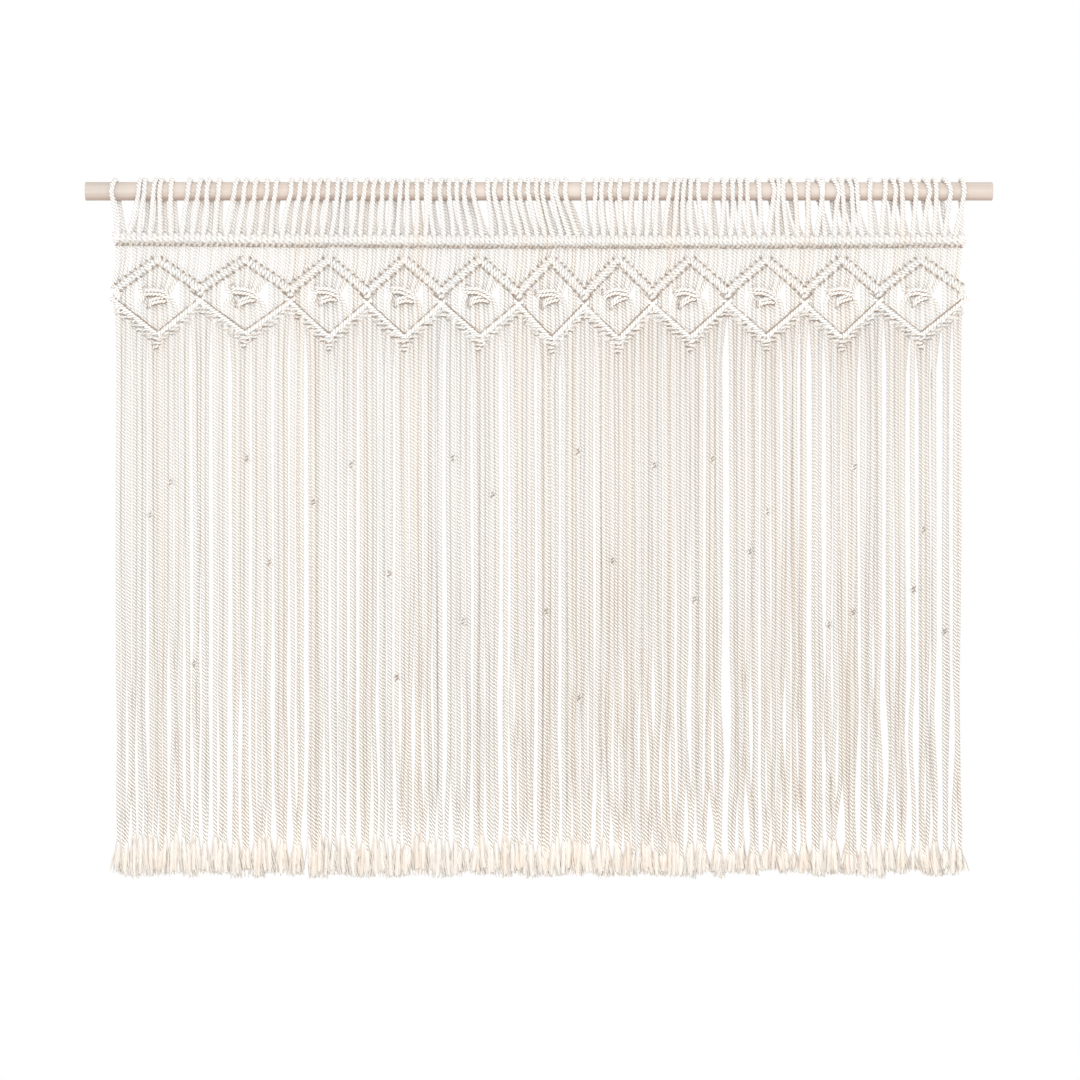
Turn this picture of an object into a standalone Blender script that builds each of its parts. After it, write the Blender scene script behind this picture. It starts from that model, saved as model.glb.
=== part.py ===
"""A macrame wall hanging on a wooden rod, in metres with +Z up.

The origin is the middle of the rod's axis. +X runs along the rod and -Y is the front.
Cords are folded over the rod, knotted into a straight bar and two zigzag bars that make
a row of diamonds, and hang below them as a long fringe with unravelled ends.
"""

import math
import random

import bmesh
import bpy

MM = 0.001
SEED = 11

# The rod
ROD_LENGTH = 906 * MM
ROD_RADIUS = 9.25 * MM
ROD_SIDES = 32

# The cords. Sixteen of them, eight folded over the rod, make each diamond.
CORD_WIDTH = 4.6 * MM
CORD_DEPTH = 4.0 * MM
CORDS_PER_DIAMOND = 16
HALF_DIAMOND = CORDS_PER_DIAMOND // 2
DIAMOND_WIDTHS = [width * MM for width in (85, 90, 77, 74, 77, 66, 68, 75, 77, 74, 84)]
HANGING_WIDTH = sum(DIAMOND_WIDTHS)

# Loops over the rod
ROD_CLEARANCE = 0.6 * MM
LOOP_ANGLES = [math.radians(degrees) for degrees in (15, 65, 115, 165)]
LOOP_LEAN = 1.8 * MM

# Heights of the knotted bars' middles, from the rod's axis
HEADER_Z = -47 * MM
PEAK_Z = -68.5 * MM
UPPER_CORNER_Z = -97 * MM
LOWER_CORNER_Z = -112.5 * MM
TIP_Z = -146 * MM
# A narrow diamond is deeper than the widest one by this share of the difference in width
STEEPENING = 0.25

# The bars' sections. A ridge stands proud and a groove falls short by these shares.
HEADER_HALF_HEIGHT = 6.0 * MM
UPPER_HALF_HEIGHT = 6.2 * MM
LOWER_HALF_HEIGHT = 6.6 * MM
BAR_HALF_DEPTH = 4.6 * MM
RIDGE = 0.18
RIDGE_RISE = 0.06

# A bar's section in half depths and half heights, taken round from the top's front edge
SECTION = {
    "top_front": (-1.0, 1.0),
    "top_middle": (0.0, 1.0),
    "top_back": (1.0, 1.0),
    "under_back": (1.0, -1.0),
    "under_middle": (0.0, -1.0),
    "under_front": (-1.0, -1.0),
    "brow": (-1.6, 0.0),
}

# The gathered knot in the middle of each diamond
KNOT_Z = -104.5 * MM
KNOT_HALF_HEIGHT = 6.0 * MM
KNOT_HALF_DEPTH = 5.0 * MM
KNOT_CELL = 4.2 * MM
KNOT_CELL_GAP = 1.4 * MM
KNOT_END = 2.4 * MM
KNOT_END_SHARE = 0.6
# Pairs of cords inside a diamond, by the place of their left cord: those that the knot
# gathers, and those that run straight past it near the corners
GATHERED_PAIRS = (4, 6, 8, 10)
STRAIGHT_PAIRS = (2, 12)

# The strip that the fringe hangs from
STRIP_GAP = 0.5 * MM
STRIP_HEIGHT = 6.5 * MM
STRIP_TIP_DROP = 4.0 * MM

# The fringe
FRAY_Z = -646 * MM
END_Z = -680 * MM
END_SPREAD = 7 * MM
FRINGE_DRIFT = 2.0 * MM
FRAY_WIDTH = 7.6 * MM
LAYER_DEPTH = 2.6 * MM
LOOSE_KNOT_WIDTH = 8.0 * MM
LOOSE_KNOT_DEPTH = 7.0 * MM
LOOSE_KNOT_HALF = 4.5 * MM

# Small overhand knots that were left in single cords of the fringe
LOOSE_KNOTS = [
    (across * MM, height * MM)
    for across, height in (
        (-388, -324), (-367, -291), (-346, -472), (-285, -267), (-261, -371), (-224, -311),
        (-188, -274), (-144, -382), (-140, -486), (-80, -267), (-70, -430), (-40, -303),
        (11, -420), (42, -506), (45, -260), (75, -369), (114, -274), (153, -408),
        (179, -268), (216, -360), (233, -320), (286, -433), (315, -276), (317, -421),
        (373, -398), (383, -338), (411, -440),
    )
]


def clear_scene():
    """Remove whatever the scene holds."""
    for thing in list(bpy.data.objects):
        bpy.data.objects.remove(thing, do_unlink=True)


def make_material(name, colour, roughness):
    """A plain Principled material. The colour is linear."""
    material = bpy.data.materials.new(name)
    material.use_nodes = True
    shader = material.node_tree.nodes["Principled BSDF"]
    shader.inputs["Base Color"].default_value = (*colour, 1.0)
    shader.inputs["Roughness"].default_value = roughness
    shader.inputs["Metallic"].default_value = 0.0
    material.diffuse_color = (*colour, 1.0)
    return material


def add_object(bm, name, collection, material):
    """Turn a finished bmesh into a named object with its faces pointing out."""
    bmesh.ops.recalc_face_normals(bm, faces=bm.faces)
    mesh = bpy.data.meshes.new(name)
    bm.to_mesh(mesh)
    bm.free()
    thing = bpy.data.objects.new(name, mesh)
    thing.data.materials.append(material)
    collection.objects.link(thing)
    return thing


def station_places():
    """Where one cord meets the next along the hanging, from its left edge to its right."""
    places = [-HANGING_WIDTH / 2]
    for width in DIAMOND_WIDTHS:
        for _ in range(CORDS_PER_DIAMOND):
            places.append(places[-1] + width / CORDS_PER_DIAMOND)
    return places


def sink(diamond):
    """How much deeper a diamond is than the widest one. Past the ends, the last one counts."""
    inside = min(max(diamond, 0), len(DIAMOND_WIDTHS) - 1)
    return STEEPENING * (max(DIAMOND_WIDTHS) - DIAMOND_WIDTHS[inside])


def zigzag(station, corner_z, middle_z, middle_sinks):
    """Height of a zigzag bar at a station, straight between a diamond's corners and its middle."""
    diamond, step = divmod(station, CORDS_PER_DIAMOND)
    share = 1 - abs(step - HALF_DIAMOND) / HALF_DIAMOND
    neighbour = diamond - 1 if step < HALF_DIAMOND else diamond + 1
    corner = corner_z - (sink(diamond) + sink(neighbour)) / 2
    middle = middle_z - sink(diamond) if middle_sinks else middle_z
    return corner + (middle - corner) * share


def upper_height(station):
    """Middle height of the zigzag bar over the diamonds."""
    return zigzag(station, UPPER_CORNER_Z, PEAK_Z, middle_sinks=False)


def lower_height(station):
    """Middle height of the zigzag bar under the diamonds."""
    return zigzag(station, LOWER_CORNER_Z, TIP_Z, middle_sinks=True)


def ridged(station, half_depth, half_height):
    """Ridges and grooves take turns along a bar, where its cords are knotted on."""
    side = 1 if station % 2 else -1
    return half_depth * (1 + side * RIDGE), half_height * (1 + side * RIDGE_RISE)


def ring(bm, names, x, z, half_depth, half_height):
    """Add the points of a bar's section at one station, by name."""
    points = {}
    for name in names:
        depth, height = SECTION[name]
        points[name] = bm.verts.new((x, depth * half_depth, z + height * half_height))
    return points


def skin_bar(bm, rings, open_facets):
    """Join the rings of a bar and close its ends.

    A facet runs from the point that names it to the next one round the section. The open
    ones, given as (place, name), are left out, because cords leave the bar there.
    """
    names = list(rings[0])
    following = dict(zip(names, names[1:] + names[:1]))
    for place, (left, right) in enumerate(zip(rings, rings[1:])):
        for name in names:
            if (place, name) in open_facets:
                continue
            after = following[name]
            bm.faces.new((left[name], right[name], right[after], left[after]))
    bm.faces.new(list(rings[0].values()))
    bm.faces.new(list(rings[-1].values()))


def socket(rings, place, front, back):
    """The four corners of an open facet of a bar, where a cord starts."""
    left, right = rings[place], rings[place + 1]
    return [left[front], right[front], right[back], left[back]]


def skin_cord(bm, rings):
    """Join the rings of a cord. Its ends are sockets, so they stay open."""
    for start, end in zip(rings, rings[1:]):
        for corner in range(len(start)):
            after = (corner + 1) % len(start)
            bm.faces.new((start[corner], start[after], end[after], end[corner]))


def loop_ring(bm, x, angle):
    """Four points across a cord where it passes the rod, at an angle up from the front."""
    half_step = (LOOP_ANGLES[1] - LOOP_ANGLES[0]) / 2
    inner = (ROD_RADIUS + ROD_CLEARANCE) / math.cos(half_step)
    outer = inner + CORD_DEPTH
    corners = []
    for side, radius in ((-1, outer), (1, outer), (1, inner), (-1, inner)):
        across = x + side * CORD_WIDTH / 2
        corners.append(bm.verts.new((across, -radius * math.cos(angle), radius * math.sin(angle))))
    return corners


def add_loops(bm, header, places, chance):
    """Fold a cord over the rod at every second station. It comes down behind, one cord along."""
    for place in range(0, len(places) - 1, 2):
        front_x = (places[place] + places[place + 1]) / 2 + chance.uniform(-LOOP_LEAN, LOOP_LEAN)
        back_x = (places[place + 1] + places[place + 2]) / 2 + chance.uniform(-LOOP_LEAN, LOOP_LEAN)
        rings = [socket(header, place, "top_front", "top_middle")]
        for step, angle in enumerate(LOOP_ANGLES):
            share = step / (len(LOOP_ANGLES) - 1)
            rings.append(loop_ring(bm, front_x + (back_x - front_x) * share, angle))
        rings.append(socket(header, place + 1, "top_back", "top_middle"))
        skin_cord(bm, rings)


def header_rings(bm, places):
    """The straight bar under the rod. It is split front and back on both its edges."""
    rings = []
    for station, x in enumerate(places):
        halves = ridged(station, BAR_HALF_DEPTH, HEADER_HALF_HEIGHT)
        rings.append(ring(bm, SECTION, x, HEADER_Z, *halves))
    return rings


def upper_rings(bm, places):
    """The zigzag bar over the diamonds."""
    names = [name for name in SECTION if name != "under_middle"]
    rings = []
    for station, x in enumerate(places):
        halves = ridged(station, BAR_HALF_DEPTH, UPPER_HALF_HEIGHT)
        rings.append(ring(bm, names, x, upper_height(station), *halves))
    return rings


def lower_rings(bm, places):
    """The zigzag bar under the diamonds."""
    names = [name for name in SECTION if name not in ("top_middle", "under_middle")]
    rings = []
    for station, x in enumerate(places):
        halves = ridged(station, BAR_HALF_DEPTH, LOWER_HALF_HEIGHT)
        rings.append(ring(bm, names, x, lower_height(station), *halves))
    return rings


def crossing_stations():
    """The stations where both zigzag bars are knotted together, three at each corner."""
    last = CORDS_PER_DIAMOND * len(DIAMOND_WIDTHS)
    corners = range(0, last + 1, CORDS_PER_DIAMOND)
    return {corner + step for corner in corners for step in (-1, 0, 1) if 0 <= corner + step <= last}


def join_crossings(bm, upper, lower, crossings):
    """Let the bars share their facing edges at the crossings, and say which facets vanish there."""
    for station in crossings:
        for above, below in (("under_front", "top_front"), ("under_back", "top_back")):
            kept = upper[station][above]
            dropped = lower[station][below]
            kept.co.z = (kept.co.z + dropped.co.z) / 2
            lower[station][below] = kept
            bm.verts.remove(dropped)
    inside = [place for place in crossings if place + 1 in crossings]
    return {(place, "under_back") for place in inside}, {(place, "top_front") for place in inside}


def add_short_cords(bm, header, upper, count):
    """Cords from the straight bar down to the upper zigzag, front and back by turns."""
    for place in range(count):
        if place % 2:
            start = socket(header, place, "under_middle", "under_back")
            end = socket(upper, place, "top_middle", "top_back")
        else:
            start = socket(header, place, "under_front", "under_middle")
            end = socket(upper, place, "top_front", "top_middle")
        skin_cord(bm, [start, end])


def knot_rings(bm, middle):
    """The gathered knot, drawn in at both ends."""
    names = [name for name in SECTION if name not in ("top_middle", "under_middle")]
    cells = len(GATHERED_PAIRS)
    edge = (cells * KNOT_CELL + (cells - 1) * KNOT_CELL_GAP) / 2
    rings = [knot_ring(bm, names, middle - edge - KNOT_END, KNOT_END_SHARE)]
    for cell in range(cells):
        left = middle - edge + cell * (KNOT_CELL + KNOT_CELL_GAP)
        rings.append(knot_ring(bm, names, left, 1.0))
        rings.append(knot_ring(bm, names, left + KNOT_CELL, 1.0))
    rings.append(knot_ring(bm, names, middle + edge + KNOT_END, KNOT_END_SHARE))
    return rings


def knot_ring(bm, names, x, share):
    """One section of the gathered knot."""
    return ring(bm, names, x, KNOT_Z, KNOT_HALF_DEPTH * share, KNOT_HALF_HEIGHT * share)


def pair_edges(rings, first, front, back):
    """The front and back edges of a bar's open facets where a pair of cords leaves it."""
    pair = rings[first:first + 3]
    return [points[front] for points in pair], [points[back] for points in pair]


def add_straight_pair(bm, upper, lower, first):
    """Two cords side by side, straight from the upper zigzag to the lower one."""
    upper_front, upper_back = pair_edges(upper, first, "under_front", "under_back")
    lower_front, lower_back = pair_edges(lower, first, "top_front", "top_back")
    skin_cord(bm, [upper_front + upper_back[::-1], lower_front + lower_back[::-1]])


def add_gathered_pair(bm, edges, cell):
    """Two cords from a zigzag bar that are drawn together into one cell of the knot."""
    fronts, backs = edges
    front_left, front_right, back_right, back_left = cell
    bm.faces.new([*fronts, front_right, front_left])
    bm.faces.new([*backs, back_right, back_left])
    bm.faces.new((fronts[0], front_left, back_left, backs[0]))
    bm.faces.new((fronts[-1], front_right, back_right, backs[-1]))


def add_diamond(bm, upper, lower, first, middle):
    """The knot and cords inside one diamond, whose left corner is the first station."""
    knot = knot_rings(bm, middle)
    knot_open = set()
    for cell, pair in enumerate(GATHERED_PAIRS):
        place = 2 * cell + 1
        knot_open |= {(place, "top_front"), (place, "under_back")}
        above = pair_edges(upper, first + pair, "under_front", "under_back")
        below = pair_edges(lower, first + pair, "top_front", "top_back")
        add_gathered_pair(bm, above, socket(knot, place, "top_front", "top_back"))
        add_gathered_pair(bm, below, socket(knot, place, "under_front", "under_back"))
    skin_bar(bm, knot, knot_open)
    for pair in STRAIGHT_PAIRS:
        add_straight_pair(bm, upper, lower, first + pair)


def build_band(collection, material, places, chance):
    """Everything knotted, from the loops on the rod to the lower zigzag, as one body."""
    bm = bmesh.new()
    header = header_rings(bm, places)
    upper = upper_rings(bm, places)
    lower = lower_rings(bm, places)
    upper_open, lower_open = join_crossings(bm, upper, lower, crossing_stations())

    add_loops(bm, header, places, chance)
    count = len(places) - 1
    add_short_cords(bm, header, upper, count)
    for first in range(0, count, CORDS_PER_DIAMOND):
        add_diamond(bm, upper, lower, first, places[first + HALF_DIAMOND])
        for pair in GATHERED_PAIRS + STRAIGHT_PAIRS:
            for place in (first + pair, first + pair + 1):
                upper_open.add((place, "under_back"))
                lower_open.add((place, "top_front"))

    header_open = set()
    for place in range(count):
        top, under = ("top_middle", "under_back") if place % 2 else ("top_front", "under_middle")
        header_open |= {(place, top), (place, under)}
        upper_open.add((place, top))
    skin_bar(bm, header, header_open)
    skin_bar(bm, upper, upper_open)
    skin_bar(bm, lower, lower_open)
    return add_object(bm, "knotted_band", collection, material)


def strip_rings(bm, places):
    """A narrow zigzag strip just under the lower zigzag bar, split front and back below."""
    names = [name for name in SECTION if name not in ("top_middle", "brow")]
    rings = []
    for station, x in enumerate(places):
        half_depth, bar_half_height = ridged(station, BAR_HALF_DEPTH, LOWER_HALF_HEIGHT)
        top = lower_height(station) - bar_half_height - STRIP_GAP
        height = STRIP_HEIGHT
        if station % CORDS_PER_DIAMOND == HALF_DIAMOND:
            height += STRIP_TIP_DROP
        rings.append(ring(bm, names, x, top - height / 2, half_depth, height / 2))
    return rings


def cord_ring(bm, x, y, z, width, depth):
    """Four points across a hanging cord, from its front left corner round to the back left."""
    corners = []
    for across, along in ((-1, -1), (1, -1), (1, 1), (-1, 1)):
        corners.append(bm.verts.new((x + across * width / 2, y + along * depth / 2, z)))
    return corners


def knots_on_cord(places, place):
    """Heights of the loose knots on one front cord, the highest first."""
    left, right = places[place], places[place + 2]
    return sorted((z for x, z in LOOSE_KNOTS if left <= x < right), reverse=True)


def add_fringe_cord(bm, strip, places, place, chance):
    """One hanging cord: straight down with a slight lean, its end frayed and cut across."""
    behind = place % 2
    names = ("under_middle", "under_back") if behind else ("under_front", "under_middle")
    start = socket(strip, place, *names)
    top_x = (places[place] + places[place + 1]) / 2
    top_z = sum(corner.co.z for corner in start) / len(start)
    y = LAYER_DEPTH if behind else -LAYER_DEPTH
    fray_x = top_x + chance.uniform(-FRINGE_DRIFT, FRINGE_DRIFT)
    end_x = fray_x + chance.uniform(-1, 1) * MM
    end_z = END_Z + chance.uniform(-0.5, 0.5) * END_SPREAD

    rings = [start]
    for knot_z in [] if behind else knots_on_cord(places, place):
        for step, width, depth in (
            (1, CORD_WIDTH, CORD_DEPTH),
            (0, LOOSE_KNOT_WIDTH, LOOSE_KNOT_DEPTH),
            (-1, CORD_WIDTH, CORD_DEPTH),
        ):
            z = knot_z + step * LOOSE_KNOT_HALF
            x = top_x + (fray_x - top_x) * (top_z - z) / (top_z - FRAY_Z)
            front = y - (depth - CORD_DEPTH) / 2
            rings.append(cord_ring(bm, x, front, z, width, depth))
    rings.append(cord_ring(bm, fray_x, y, FRAY_Z, CORD_WIDTH, CORD_DEPTH))
    rings.append(cord_ring(bm, end_x, y, end_z, FRAY_WIDTH, CORD_DEPTH))
    skin_cord(bm, rings)
    bm.faces.new(rings[-1])


def build_fringe(collection, material, places, chance):
    """The long cords below the diamonds, with their roots in one narrow strip."""
    bm = bmesh.new()
    strip = strip_rings(bm, places)
    strip_open = set()
    for place in range(len(places) - 1):
        strip_open.add((place, "under_back" if place % 2 else "under_middle"))
        add_fringe_cord(bm, strip, places, place, chance)
    skin_bar(bm, strip, strip_open)
    return add_object(bm, "fringe", collection, material)


def build_rod(collection, material):
    """The plain rod, cut square at both ends."""
    bm = bmesh.new()
    bmesh.ops.create_cone(
        bm,
        cap_ends=True,
        segments=ROD_SIDES,
        radius1=ROD_RADIUS,
        radius2=ROD_RADIUS,
        depth=ROD_LENGTH,
    )
    rod = add_object(bm, "rod", collection, material)
    rod.rotation_euler = (0.0, math.pi / 2, 0.0)
    rod.data.shade_smooth()
    rod.data.set_sharp_from_angle(angle=math.radians(40))
    return rod


def main():
    """Build the hanging and its rod."""
    clear_scene()
    collection = bpy.data.collections.new("macrame_wall_hanging")
    bpy.context.scene.collection.children.link(collection)
    wood = make_material("pale_birch", (0.80, 0.72, 0.64), 0.55)
    cotton = make_material("natural_cotton", (0.88, 0.83, 0.75), 0.9)

    chance = random.Random(SEED)
    places = station_places()
    build_rod(collection, wood)
    build_band(collection, cotton, places, chance)
    build_fringe(collection, cotton, places, chance)


main()
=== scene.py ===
"""The looks of a macrame wall hanging: twisted cotton cords knotted onto a birch rod.

Everything is in metres in the part's own frame. The origin is the middle of the rod's axis,
+X runs along the rod to the right, -Y is the front and +Z is up.
"""

import math
import random

import bpy
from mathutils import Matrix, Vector


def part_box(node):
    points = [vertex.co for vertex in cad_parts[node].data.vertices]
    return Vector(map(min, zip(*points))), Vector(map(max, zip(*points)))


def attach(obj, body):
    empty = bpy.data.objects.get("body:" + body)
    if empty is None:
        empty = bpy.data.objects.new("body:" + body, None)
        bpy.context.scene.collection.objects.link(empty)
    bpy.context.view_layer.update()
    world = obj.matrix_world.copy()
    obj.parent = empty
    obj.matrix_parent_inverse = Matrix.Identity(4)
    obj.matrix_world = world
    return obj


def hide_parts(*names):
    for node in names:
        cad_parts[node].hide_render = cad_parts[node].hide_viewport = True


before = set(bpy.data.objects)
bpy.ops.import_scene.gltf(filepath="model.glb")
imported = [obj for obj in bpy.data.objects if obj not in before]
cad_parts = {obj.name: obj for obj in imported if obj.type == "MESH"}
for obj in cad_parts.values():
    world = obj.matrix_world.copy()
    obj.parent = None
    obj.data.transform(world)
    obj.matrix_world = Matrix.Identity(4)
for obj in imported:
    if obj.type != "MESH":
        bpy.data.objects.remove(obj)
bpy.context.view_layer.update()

MM = 0.001
SEED = 7
CHANCE = random.Random(SEED)

# The rod, from the frame
ROD_LOW, ROD_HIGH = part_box("rod")
ROD_RADIUS = (ROD_HIGH.z - ROD_LOW.z) / 2

# The pattern: sixteen cords, eight folded over the rod, make each diamond
CORDS_PER_DIAMOND = 16
HALF_DIAMOND = CORDS_PER_DIAMOND // 2
DIAMOND_WIDTHS = [width * MM for width in (85, 90, 77, 74, 77, 66, 68, 75, 77, 74, 84)]
DIAMONDS = range(len(DIAMOND_WIDTHS))
HANGING_WIDTH = sum(DIAMOND_WIDTHS)
CORD_COUNT = CORDS_PER_DIAMOND * len(DIAMOND_WIDTHS)

# Heights of the knotted bars' middles, as in the part
HEADER_Z = -47 * MM
HEADER_SAG = 2.0 * MM
HEADER_TILT = 1.0 * MM
PEAK_Z = -68.5 * MM
UPPER_CORNER_Z = -97 * MM
LOWER_CORNER_Z = -112.5 * MM
TIP_Z = -146 * MM
STEEPENING = 0.25
KNOT_Z = -104.5 * MM

# The rope: three plies laid to the left, so that its strokes fall from left to right
ROPE_RADIUS = 2.8 * MM
GROOVE_SHARE = 0.70
# Half of the width that the turning plies show, as a share of the radius
SHOWN_SHARE = 0.84
LAY = 10.4 * MM
LOOSE_LAY = 11.6 * MM
RING_STEP = 2.05 * MM
# How far apart the cords lie side by side, and the points along their straight stretches
CORD_PITCH = 4.7 * MM
POINT_SPACING = 6 * MM
# Radius and ring step of thin dark cords that stand for painted shade in notches, such as between
# the knots' outer turns
NOTCH_SHAPE = (0.85 * MM, 3 * MM)
YARN_SIDES = 3

# Loops over the rod: how many stand together, and where the first and the last of them cross it
LOOP_CLUMPS = [
    (count, left * MM, right * MM)
    for count, left, right in (
        (1, -422, -422), (2, -398, -391), (2, -383, -376), (1, -366, -366),
        (4, -348, -317), (5, -300, -259), (8, -245, -182), (14, -169, -67),
        (11, -52, 27), (9, 46, 120), (5, 134, 158), (6, 173, 216),
        (4, 232, 251), (7, 269, 316), (1, 331, 331), (3, 347, 360), (3, 374, 394),
        (1, 403, 403), (1, 422, 422),
    )
]
LOOP_CLEARANCE = 0.2 * MM
LOOP_JITTER = 2.0 * MM
# The loop whose legs cross those of the next one
CROSSED_LOOP = 73

# Partings of the fringe that show the background: where they are, and how wide
PARTINGS = [
    (across * MM, width * MM)
    for across, width in (
        (-391, 2), (-347, 2.5), (-328, 4.5), (-308, 2.5), (-289, 2), (-266, 3), (-250, 3),
        (-233, 4.5), (-209, 2.5), (-201, 2.5), (-181, 3.5), (-161, 2.5), (-145, 3), (-95, 3.5),
        (-67, 3), (-38, 4.5), (-30, 3), (-3, 3.5), (21, 3), (56, 1.5), (101, 1), (187, 7),
        (220, 1.5), (252, 1.5), (270, 6), (286, 2.5), (320, 3), (345, 5), (369, 4.5),
        (378, 4), (400, 6), (412, 3.5),
    )
]
# Half the width that a hanging cord shows
HANGING_HALF = 2.2 * MM

# Small overhand knots that were left in single front cords, as in the part
LOOSE_KNOTS = [
    (across * MM, height * MM)
    for across, height in (
        (-388, -324), (-367, -291), (-346, -472), (-285, -267), (-261, -371), (-224, -311),
        (-188, -274), (-144, -382), (-140, -486), (-80, -267), (-70, -430), (-40, -303),
        (11, -420), (42, -506), (45, -260), (75, -369), (114, -274), (153, -408),
        (179, -268), (216, -360), (233, -320), (286, -433), (315, -276), (317, -421),
        (373, -398), (383, -338), (411, -440),
    )
]

# The fringe: its heights, the depth of its two layers, and the points along each cord
FRAY_Z = -656 * MM
END_Z = -683 * MM
LAYER_DEPTH = 1.35 * MM
HANGING_STEPS = 22

# Front view of the whole, as the camera frames it
VIEW_CENTRE = Vector((1 * MM, 0.0, -348.7 * MM))
VIEW_DISTANCE = 3.0
VIEW_LENS = 100.0


# The pattern's places and heights

def station_places():
    """Where one cord meets the next along the hanging, from its left edge to its right."""
    places = [-HANGING_WIDTH / 2]
    for width in DIAMOND_WIDTHS:
        for _ in range(CORDS_PER_DIAMOND):
            places.append(places[-1] + width / CORDS_PER_DIAMOND)
    return places


def sink(diamond):
    """How much deeper a diamond is than the widest one. Past the ends, the last one counts."""
    inside = min(max(diamond, 0), len(DIAMOND_WIDTHS) - 1)
    return STEEPENING * (max(DIAMOND_WIDTHS) - DIAMOND_WIDTHS[inside])


def zigzag(station, corner_z, middle_z, middle_sinks):
    """Height of a zigzag bar at a station, which may lie between two whole ones."""
    diamond = min(int(station // CORDS_PER_DIAMOND), len(DIAMOND_WIDTHS) - 1)
    step = station - diamond * CORDS_PER_DIAMOND
    share = 1 - abs(step - HALF_DIAMOND) / HALF_DIAMOND
    neighbour = diamond - 1 if step < HALF_DIAMOND else diamond + 1
    corner = corner_z - (sink(diamond) + sink(neighbour)) / 2
    middle = middle_z - sink(diamond) if middle_sinks else middle_z
    return corner + (middle - corner) * share


def upper_height(station):
    """Middle height of the zigzag bar over the diamonds."""
    return zigzag(station, UPPER_CORNER_Z, PEAK_Z, middle_sinks=False)


def lower_height(station):
    """Middle height of the zigzag bar under the diamonds."""
    return zigzag(station, LOWER_CORNER_Z, TIP_Z, middle_sinks=True)


def header_height(x):
    """Middle height of the straight bar, which sags a little and is lower at its right end."""
    across = 2 * x / HANGING_WIDTH
    return HEADER_Z - HEADER_TILT * across - HEADER_SAG * (1 - across * across)


PLACES = station_places()


def place_x(station):
    """Where a station lies across the hanging, which may lie between two whole ones."""
    low = min(max(int(station), 0), CORD_COUNT - 1)
    return PLACES[low] + (PLACES[low + 1] - PLACES[low]) * (station - low)


def smooth(share):
    """A step from 0 to 1 that starts and ends gently."""
    share = min(max(share, 0.0), 1.0)
    return share * share * (3 - 2 * share)


def varied(low, high):
    """A number from low to high, drawn in the script's own order."""
    return CHANCE.uniform(low, high)


def around(most):
    """A number at most so far from nought to either side."""
    return CHANCE.uniform(-most, most)


# Centre lines

class Strands:
    """Centre lines of cords, with what each of their points carries.

    turns is how far the plies have turned, and tint picks the cotton's own tone. crease paints
    shade on a place where cords press together or turn under, and below zero it is pulled tight,
    so that its grooves close and it is darkened a little. In the unravelled ends it is how twisted
    they still are. thickness is a share of the full radius.
    """

    CARRIED = ("turns", "tint", "crease", "thickness")

    def __init__(self):
        self.points = []
        self.links = []
        self.carried = {name: [] for name in self.CARRIED}

    def add(self, path, tint=0.5, first_turn=0.0, lay=LAY, crease=0.0, thickness=1.0):
        """Add one centre line. lay, crease and thickness are numbers, or one for each point."""
        start = len(self.points)
        turn = first_turn
        for place, point in enumerate(path):
            if place:
                turn += (Vector(point) - Vector(path[place - 1])).length / at(lay, place)
                self.links.append((start + place - 1, start + place))
            self.points.append(tuple(point))
            self.carried["turns"].append(turn)
            self.carried["tint"].append(tint)
            self.carried["crease"].append(at(crease, place))
            self.carried["thickness"].append(at(thickness, place))


def at(value, place):
    """One number of a list, or the number itself."""
    return value[place] if isinstance(value, (list, tuple)) else value


def arc(centre, across, out, first, sweep, steps):
    """Points round an ellipse: across and out are its half axes, and angles are in degrees."""
    points = []
    for step in range(steps + 1):
        angle = math.radians(first + sweep * step / steps)
        points.append(Vector(centre) + across * math.cos(angle) + out * math.sin(angle))
    return points


def along(path, spacing):
    """The same path with points about that far apart, straight between its own."""
    fine = [Vector(path[0])]
    for start, end in zip(path, path[1:]):
        start, end = Vector(start), Vector(end)
        count = max(1, round((end - start).length / spacing))
        fine += [start.lerp(end, step / count) for step in range(1, count + 1)]
    return fine


# Node trees that turn centre lines into cords

def add_node(tree, kind, values=None, **settings):
    """Add a node, set its own properties, then the values or links of its inputs."""
    node = tree.nodes.new(kind)
    for name, value in settings.items():
        setattr(node, name, value)
    for name, value in (values or {}).items():
        if isinstance(value, bpy.types.NodeSocket):
            tree.links.new(value, node.inputs[name])
        else:
            node.inputs[name].default_value = value
    return node


def maths(tree, operation, first, second=0.0):
    """One sum in a tree. Each number is a link or a value."""
    node = add_node(tree, "ShaderNodeMath", operation=operation)
    for place, value in enumerate((first, second)):
        if isinstance(value, bpy.types.NodeSocket):
            tree.links.new(value, node.inputs[place])
        else:
            node.inputs[place].default_value = value
    return node.outputs[0]


def geometry(tree, kind, values, output, **settings):
    """Add a geometry node and give one of its outputs."""
    return add_node(tree, f"GeometryNode{kind}", values, **settings).outputs[output]


def new_geometry_tree(name, inputs):
    """A geometry tree and what it is given: the named inputs, and those that every tree has."""
    tree = bpy.data.node_groups.new(name, "GeometryNodeTree")
    shared = (("Guides", "Geometry"), ("Ring Step", "Float"), ("Finish", "Material"))
    for label, kind in shared + inputs:
        tree.interface.new_socket(label, in_out="INPUT", socket_type=f"NodeSocket{kind}")
    tree.interface.new_socket("Cords", in_out="OUTPUT", socket_type="NodeSocketGeometry")
    return tree, tree.nodes.new("NodeGroupInput").outputs


def carried(tree, name):
    """Read what the guide's points carry under a name."""
    return geometry(tree, "InputNamedAttribute", {"Name": name}, "Attribute", data_type="FLOAT")


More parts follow.
